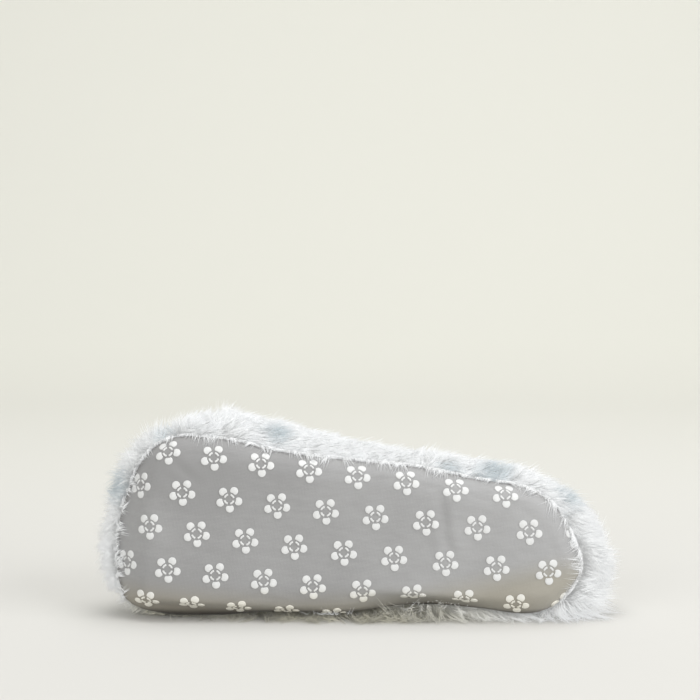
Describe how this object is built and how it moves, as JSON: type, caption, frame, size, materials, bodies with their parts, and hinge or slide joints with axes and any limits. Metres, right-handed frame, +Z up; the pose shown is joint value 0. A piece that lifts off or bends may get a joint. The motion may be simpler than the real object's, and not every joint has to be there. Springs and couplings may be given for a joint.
{
  "type": "heated slipper",
  "caption": "Plush left-foot heated slipper lying on its inner side: padded fabric sole, soft footbed and deep fur upper with closed heel and open collar.",
  "frame": {"origin": "on the floor, at the middle of the bottom of the box round the lying slipper", "axes": "+X towards the heel, -Y out of the tread, +Z up from the floor to the outer side of the foot"},
  "size_m": [0.2814, 0.0944, 0.1124],
  "materials": {
    "sole_fabric": "matt grey brushed fabric",
    "footbed_plush": "short white plush",
    "fur": "deep white fur with soft blue-grey spots"
  },
  "bodies": {
    "root": {"outsole": "sole_fabric", "insole": "footbed_plush", "upper": "fur"}
  },
  "joints": []
}
